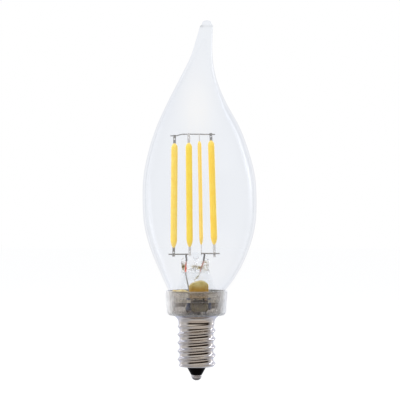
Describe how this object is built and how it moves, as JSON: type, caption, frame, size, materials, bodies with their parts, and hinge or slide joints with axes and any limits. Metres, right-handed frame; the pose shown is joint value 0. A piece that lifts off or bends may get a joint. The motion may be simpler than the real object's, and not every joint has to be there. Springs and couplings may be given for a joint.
{
  "type": "candelabra LED filament lamp",
  "caption": "Clear bent-tip candle lamp: LED filaments on a glass stem in a blown bulb, clear collar round the driver, nickel screw cap.",
  "frame": {"origin": "middle of the flat end of the centre contact, on the screw cap's axis", "axes": "+Z along the lamp's axis from the contact towards the glass tip; +X towards the side that the tip bends to; -Y towards the pictured side"},
  "size_m": [0.0351, 0.0352, 0.1108],
  "materials": {
    "clear_glass": "clear blown soda-lime glass",
    "stem_glass": "clear pressed lead-free glass",
    "clear_plastic": "clear moulded polycarbonate",
    "glue": "translucent yellowish cement",
    "nickel_cap": "nickel-plated brass sheet, softly bright",
    "black_glass": "glossy black moulded glass",
    "contact_metal": "bright tinned metal",
    "phosphor": "yellow phosphor in soft silicone",
    "tab_steel": "thin plated steel",
    "nickel_wire": "drawn nickel wire",
    "seal_copper": "copper-clad wire, red inside glass",
    "tinned_wire": "tinned copper wire",
    "board_laminate": "green-coated glass-epoxy laminate",
    "black_epoxy": "moulded black epoxy",
    "resistor_ceramic": "dark coated ceramic chip",
    "chip_ceramic": "tan ceramic chip",
    "film_coating": "dark olive dipped coating",
    "capacitor_sleeve": "shrunk plastic sleeve",
    "yellow_tape": "glossy polyester tape",
    "ferrite": "pressed dark ferrite",
    "copper_winding": "enamelled copper wire, close wound",
    "resistor_coating": "grey-green lacquer",
    "blue_insulation": "blue extruded insulation"
  },
  "bodies": {
    "root": {"centre_contact": "contact_metal", "cap_insulator": "black_glass", "cap_shell": "nickel_cap", "collar": "clear_plastic", "driver_board": "board_laminate", "rectifier": "black_epoxy", "driver_chip": "black_epoxy", "flywheel_diode": "black_epoxy", "sense_resistor": "resistor_ceramic", "chip_capacitor": "chip_ceramic", "film_capacitor": "film_coating", "film_capacitor_leads": "tinned_wire", "smoothing_capacitor": "capacitor_sleeve", "smoothing_capacitor_leads": "tinned_wire", "choke_tape": "yellow_tape", "choke_core": "ferrite", "choke_winding": "copper_winding", "fusible_resistor": "resistor_coating", "fuse_upper_lead": "tinned_wire", "fuse_lower_lead": "tinned_wire", "shell_wire": "blue_insulation", "shell_wire_strand": "tinned_wire", "line_wire": "blue_insulation", "glass_envelope": "clear_glass", "left_inner_lead": "nickel_wire", "left_seal_wire": "seal_copper", "left_outer_lead": "tinned_wire", "right_inner_lead": "nickel_wire", "right_seal_wire": "seal_copper", "right_outer_lead": "tinned_wire", "glass_stem": "stem_glass", "neck_glue": "glue", "first_filament": "phosphor", "first_lower_tab": "tab_steel", "first_upper_tab": "tab_steel", "second_filament": "phosphor", "second_lower_tab": "tab_steel", "second_upper_tab": "tab_steel", "third_filament": "phosphor", "third_lower_tab": "tab_steel", "third_upper_tab": "tab_steel", "fourth_filament": "phosphor", "fourth_lower_tab": "tab_steel", "fourth_upper_tab": "tab_steel", "left_cross_wire": "nickel_wire", "right_cross_wire": "nickel_wire", "bridge_wire": "nickel_wire"}
  },
  "joints": []
}
